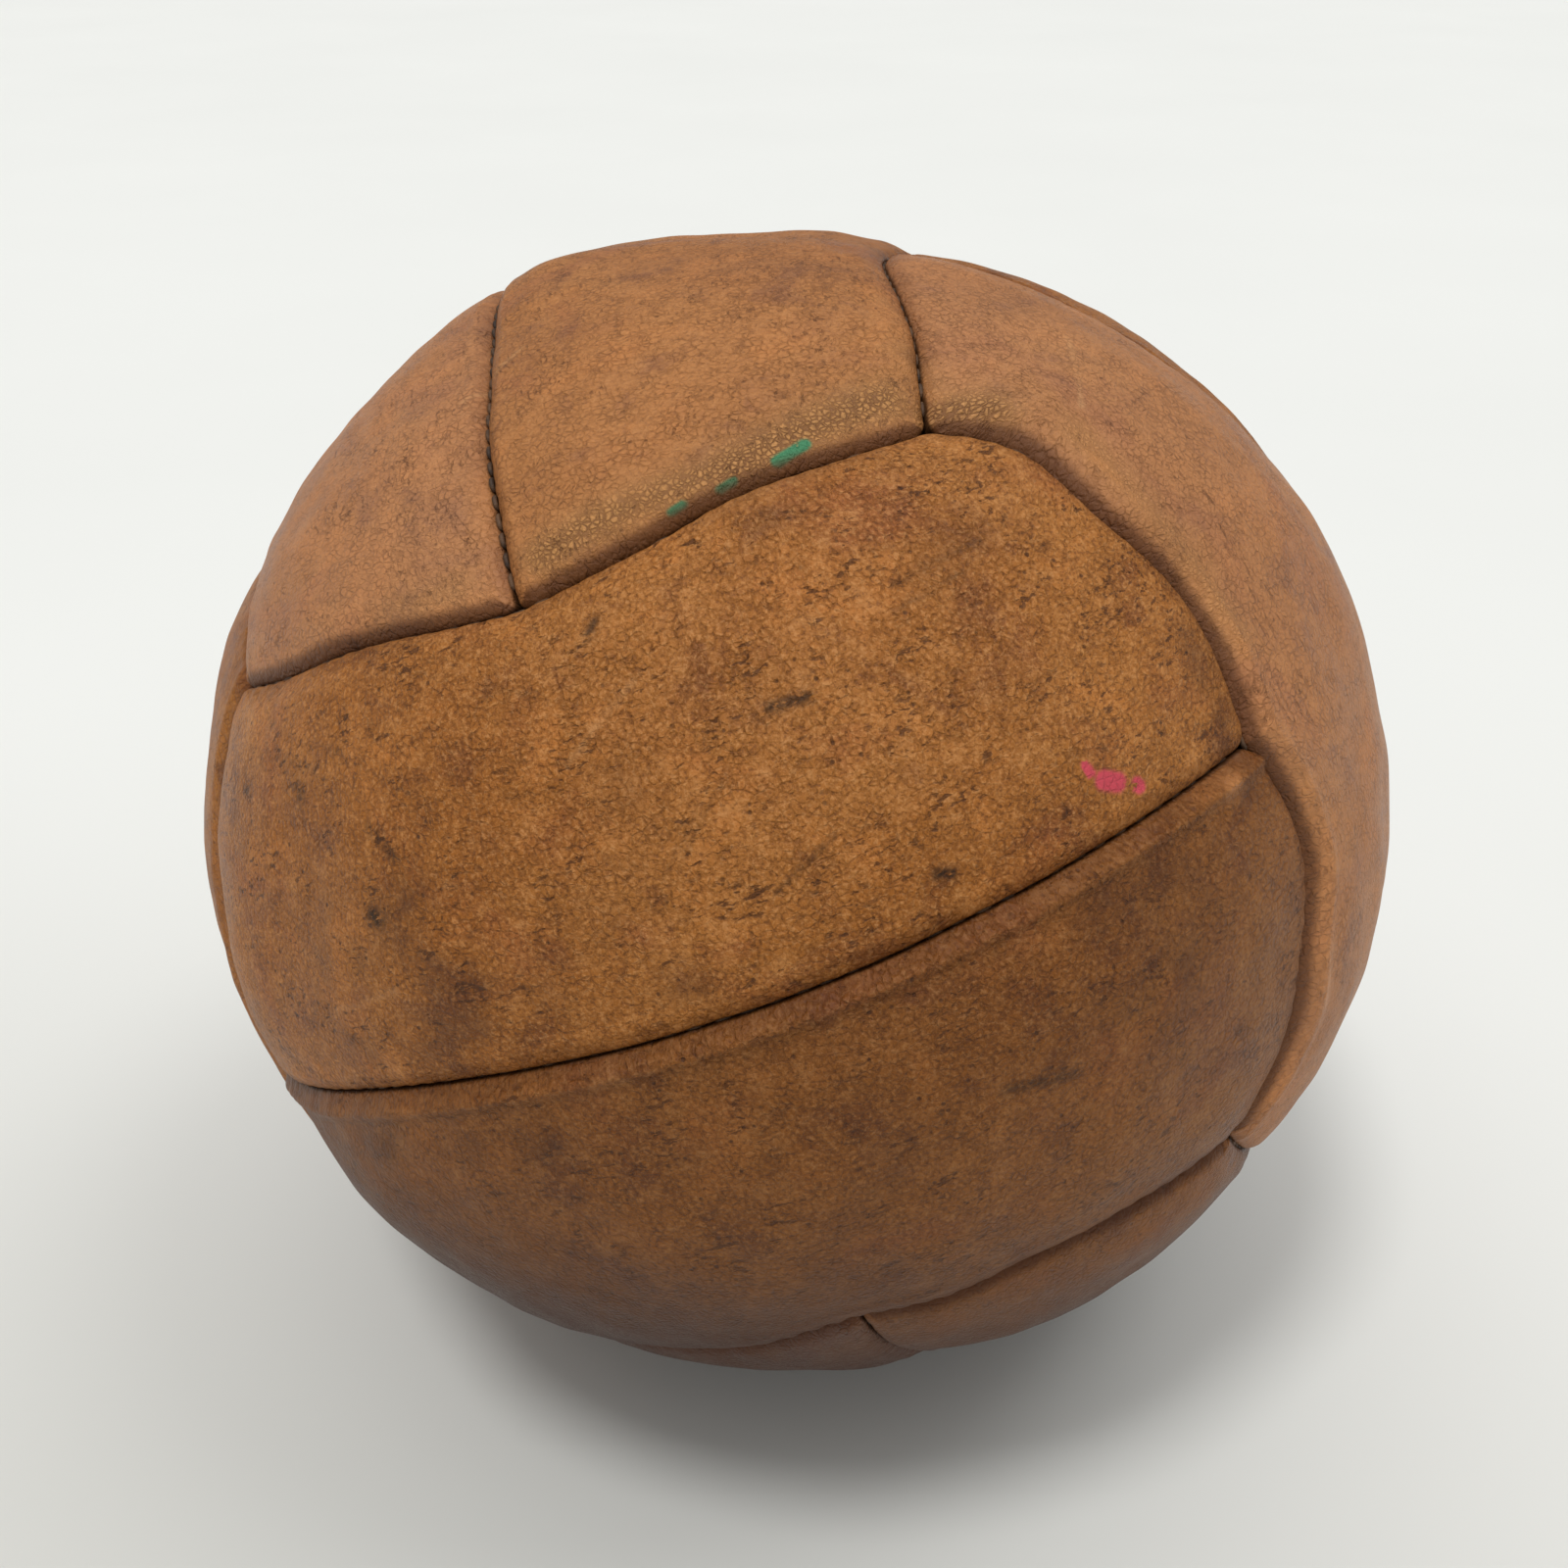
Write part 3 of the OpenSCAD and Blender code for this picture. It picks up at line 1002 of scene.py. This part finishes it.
def leather_material():
    """Old cognac leather: mottled, cracked, scratched, and darkened along its seams, with painted
    highlights on its ridges and painted sheen and shade in its tones and wide rolls.
    """
    n = Nodes("panel_leather")
    place = n.read("hide", vector=True)
    worn = n.read("worn")
    gloss_and_highlight = n.read("gloss_and_highlight")
    pebbled = n.read("pebble")
    mottle = n.noise(place, 16, 6, 0.66, 0.5)
    fleck = n.noise(place, 4.5, 7, 0.74)
    grain = n.noise(place, 0.8, 4, 0.75)
    bent = n.wobble(place, 2.4, 1.6)
    crack = n.times(n.cracks(bent, 1.5, 0.2), n.ramp(fleck, 0.3, 0.6, 1.0, 0.25))
    cell = n.times(n.cracks(bent, 1.05, 0.3), pebbled)
    dashes = n.stretch(bent, (0.35, 1.0, 1.5), (0.3, 0.2, 0.4))
    dash = n.ramp(n.noise(dashes, 1.4, 3, 0.6), 0.56, 0.64)
    dash = n.times(n.times(dash, n.ramp(n.noise(place, 10, 4), 0.48, 0.6)), worn)
    pore = n.times(n.pores(place, 2.6), n.ramp(n.noise(place, 7, 3), 0.5, 0.62))
    pore = n.times(pore, worn)
    lines = n.stretch(place, (0.05, 0.9, 0.9), (0.5, 0.6, 0.9))
    scratch = n.ramp(n.noise(lines, 1.6, 2, 0.5, 0.1), 0.68, 0.74)
    scratch = n.times(scratch, n.ramp(n.noise(place, 30, 2), 0.5, 0.6))

    base = hide_colour(n, place, mottle)
    base = worn_colour(n, base, worn, fleck, grain)
    base = tone_sheen_and_shade_colour(n, base)
    details = (
        (crack, 0.32, (88, 48, 20)),
        (pebbled, 0.6, (218, 162, 98)),
        (cell, 0.75, (96, 52, 22)),
        (dash, 0.75, (74, 38, 12)),
        # Painted highlight on the ridges.
        (gloss_and_highlight, 0.6, (222, 150, 88)),
        (pore, 0.75, (66, 34, 14)),
        (scratch, 0.5, (92, 54, 26)),
    )
    for cover, strength, paint in details:
        base = n.blend(n.times(cover, strength), base, colour(*paint))
    base = marked_colour(n, base, dashes, mottle, fleck, place)
    n.put(n.shader.inputs["Base Color"], seam_colour(n, base, mottle))

    rough = n.ramp(mottle, 0.3, 0.7, 0.37, 0.48)
    rough = n.add(rough, n.ramp(grain, 0.3, 0.7, -0.05, 0.07))
    n.put(n.shader.inputs["Roughness"], n.add(rough, n.times(gloss_and_highlight, -0.14)))
    n.shader.inputs["Specular IOR Level"].default_value = 0.24

    normal = n.bump(n.noise(place, 7, 6, 0.6), 0.0008, 0.5)
    normal = n.bump(n.most(crack, cell), -0.0006, 0.6, normal)
    normal = n.bump(grain, 0.0006, 0.6, normal)
    normal = n.bump(n.most(pore, dash), -0.0005, 0.5, normal)
    n.put(n.shader.inputs["Normal"], n.bump(scratch, -0.0003, 0.4, normal))
    return n.material


def thread_material():
    """Waxed brown linen thread, dirty in places and paler where it has frayed."""
    n = Nodes("seam_thread")
    place = n.place_in_mm()
    dirt = n.noise(place, 6, 3)
    fibre = n.noise(n.stretch(place, (1.0, 1.0, 4.0)), 0.5, 3)
    base = n.blend(n.ramp(dirt, 0.35, 0.65), colour(44, 28, 16), colour(96, 66, 40))
    base = n.blend(n.ramp(fibre, 0.5, 0.8, 0.0, 0.5), base, colour(150, 118, 84))
    n.put(n.shader.inputs["Base Color"], base)
    n.put(n.shader.inputs["Roughness"], n.ramp(fibre, 0.3, 0.7, 0.55, 0.8))
    n.put(n.shader.inputs["Normal"], n.bump(fibre, 0.0002, 0.6))
    return n.material


# A wave texture's bands are this far apart at a scale of 1.
WAVE_LENGTH = 0.314


def cloth_material(name, dark, light, weave):
    """Plain cloth with a visible weave, the given distance in mm between threads."""
    n = Nodes(name)
    place = n.place_in_mm()
    inputs = {"Vector": place, "Scale": WAVE_LENGTH / weave}
    warp = n.node("TexWave", inputs, bands_direction="X").outputs["Fac"]
    weft = n.node("TexWave", inputs, bands_direction="Z").outputs["Fac"]
    cloth = n.most(warp, weft)
    slub = n.noise(place, 3 * weave, 3)
    base = n.blend(n.ramp(slub, 0.3, 0.7), colour(*dark), colour(*light))
    base = n.blend(n.ramp(cloth, 0.5, 0.0, 0.0, 0.4), base, colour(*dark))
    n.put(n.shader.inputs["Base Color"], base)
    n.put(n.shader.inputs["Roughness"], n.ramp(slub, 0.3, 0.7, 0.8, 0.95))
    n.put(n.shader.inputs["Normal"], n.bump(cloth, 0.0004, 0.6))
    return n.material


def floor_material():
    """A smooth pale painted floor, with painted shade that greys it toward the camera's side."""
    n = Nodes("pale_floor")
    place = n.node("TexCoord").outputs["Object"]
    parts = n.node("SeparateXYZ", {"Vector": place}).outputs
    cloud = n.noise(place, 0.4, 3)
    base = n.blend(cloud, colour(236, 237, 233), colour(242, 243, 239))
    # Painted shade: the floor greys toward the camera and to the left.
    near = n.add(parts["Y"], n.times(parts["X"], 0.4))
    base = n.blend(n.ramp(near, 0.2, -0.5), base, colour(202, 202, 195))
    n.put(n.shader.inputs["Base Color"], base)
    n.shader.inputs["Roughness"].default_value = 0.75
    n.shader.inputs["Specular IOR Level"].default_value = 0.2
    return n.material


# ---------------------------------------------------------------- the studio


# The camera's place in ball radii from the ball's centre, its tilt up from straight
# down in degrees, its lens in mm, and the nearest that it sees in metres.
CAMERA_AT = (-0.020, -2.688, 1.557)
CAMERA_TILT = 60
CAMERA_LENS = 39.4
NEAREST = 0.01

# Half the floor's width in metres.
FLOOR_HALF = 12.0

# The soft light all round: where it is brightest, the cosine of the angle from there at
# which it is lowest, and its lowest and highest levels.
WORLD_FROM = (0.0, -0.35, 0.94)
WORLD_END = -0.6
WORLD_LOW = 0.1
WORLD_HIGH = 0.53

# The far lights: name, the way from the ball to the light, strength, and the angle in
# degrees that the light seems to fill.
LIGHTS = (
    ("key", (-0.21, -0.33, 1.0), 1.05, 13),
    ("overhead", (0.0, 0.1, 1.0), 0.62, 80),
    ("right", (0.45, -0.02, 1.0), 0.36, 22),
)


def make_camera():
    """The camera looks down at the ball from the front."""
    camera = bpy.data.objects.new("camera", bpy.data.cameras.new("camera"))
    bpy.context.scene.collection.objects.link(camera)
    camera.data.lens = CAMERA_LENS
    camera.data.clip_start = NEAREST
    camera.location = CAD_CENTRE + BALL_R * np.array(CAMERA_AT)
    camera.rotation_euler = (math.radians(CAMERA_TILT), 0, 0)
    bpy.context.scene.camera = camera


def make_floor():
    """A wide flat floor, which isn't part of the object."""
    mesh = bpy.data.meshes.new("floor")
    half = FLOOR_HALF
    corners = [(-half, -half, 0), (half, -half, 0), (half, half, 0), (-half, half, 0)]
    mesh.from_pydata(corners, [], [(0, 1, 2, 3)])
    mesh.materials.append(floor_material())
    floor = bpy.data.objects.new("floor", mesh)
    bpy.context.scene.collection.objects.link(floor)


def make_light(name, toward, strength, spread):
    """A far soft light. Toward points from the ball to the light."""
    data = bpy.data.lights.new(name, "SUN")
    data.energy = strength
    data.angle = math.radians(spread)
    light = bpy.data.objects.new(name, data)
    bpy.context.scene.collection.objects.link(light)
    light.rotation_mode = "QUATERNION"
    light.rotation_quaternion = Vector(toward).to_track_quat("Z", "Y")


def make_world():
    """Soft light from all round, brightest from above the camera."""
    world = bpy.data.worlds.new("studio")
    world.use_nodes = True
    tree = world.node_tree
    place = tree.nodes.new("ShaderNodeTexCoord")
    facing = tree.nodes.new("ShaderNodeVectorMath")
    facing.operation = "DOT_PRODUCT"
    facing.inputs[1].default_value = WORLD_FROM
    level = tree.nodes.new("ShaderNodeMapRange")
    level.inputs["From Min"].default_value = WORLD_END
    level.inputs["From Max"].default_value = 1.0
    level.inputs["To Min"].default_value = WORLD_LOW
    level.inputs["To Max"].default_value = WORLD_HIGH
    back = tree.nodes["Background"]
    back.inputs["Color"].default_value = (1.0, 1.0, 1.0, 1.0)
    tree.links.new(place.outputs["Generated"], facing.inputs[0])
    tree.links.new(facing.outputs["Value"], level.inputs["Value"])
    tree.links.new(level.outputs["Result"], back.inputs["Strength"])
    bpy.context.scene.world = world


def make_studio():
    """The camera, the floor and the light."""
    make_camera()
    make_floor()
    make_world()
    for light in LIGHTS:
        make_light(*light)
    bpy.context.scene.view_settings.view_transform = "Standard"


def make_ball():
    """Every piece of the ball."""
    leather = leather_material()
    canvas = cloth_material("lining_canvas", (150, 132, 104), (196, 180, 150), 1.2)
    hair = cloth_material("hair_stuffing", (92, 76, 60), (138, 118, 94), 2.0)
    thread = thread_material()
    length = math.pi / 2 * R_MM * math.cos(CAP_LATITUDE) - BARE_ENDS
    for number, (name, seam, thirds, signs) in enumerate(PANELS):
        make_panel(number, name, thirds, signs, leather)
        make_lining(number, name, thirds, signs, canvas)
        make_seam(seam, long_line, length, turn_matrix(thirds, signs), thread, LONG_DEPTH, number)
    length = 2 * CAP_ANGLE * R_MM - BARE_ENDS
    for number, (name, thirds, signs) in enumerate(MIDDLES, start=MIDDLE_SEEDS):
        turn = turn_matrix(thirds, signs)
        depth = TOP_MIDDLE_DEPTH if name == "top" else MIDDLE_DEPTH
        make_seam(name + "_middle", middle_line, length, turn, thread, depth, number)
    make_stuffing(hair)


make_studio()
make_ball()
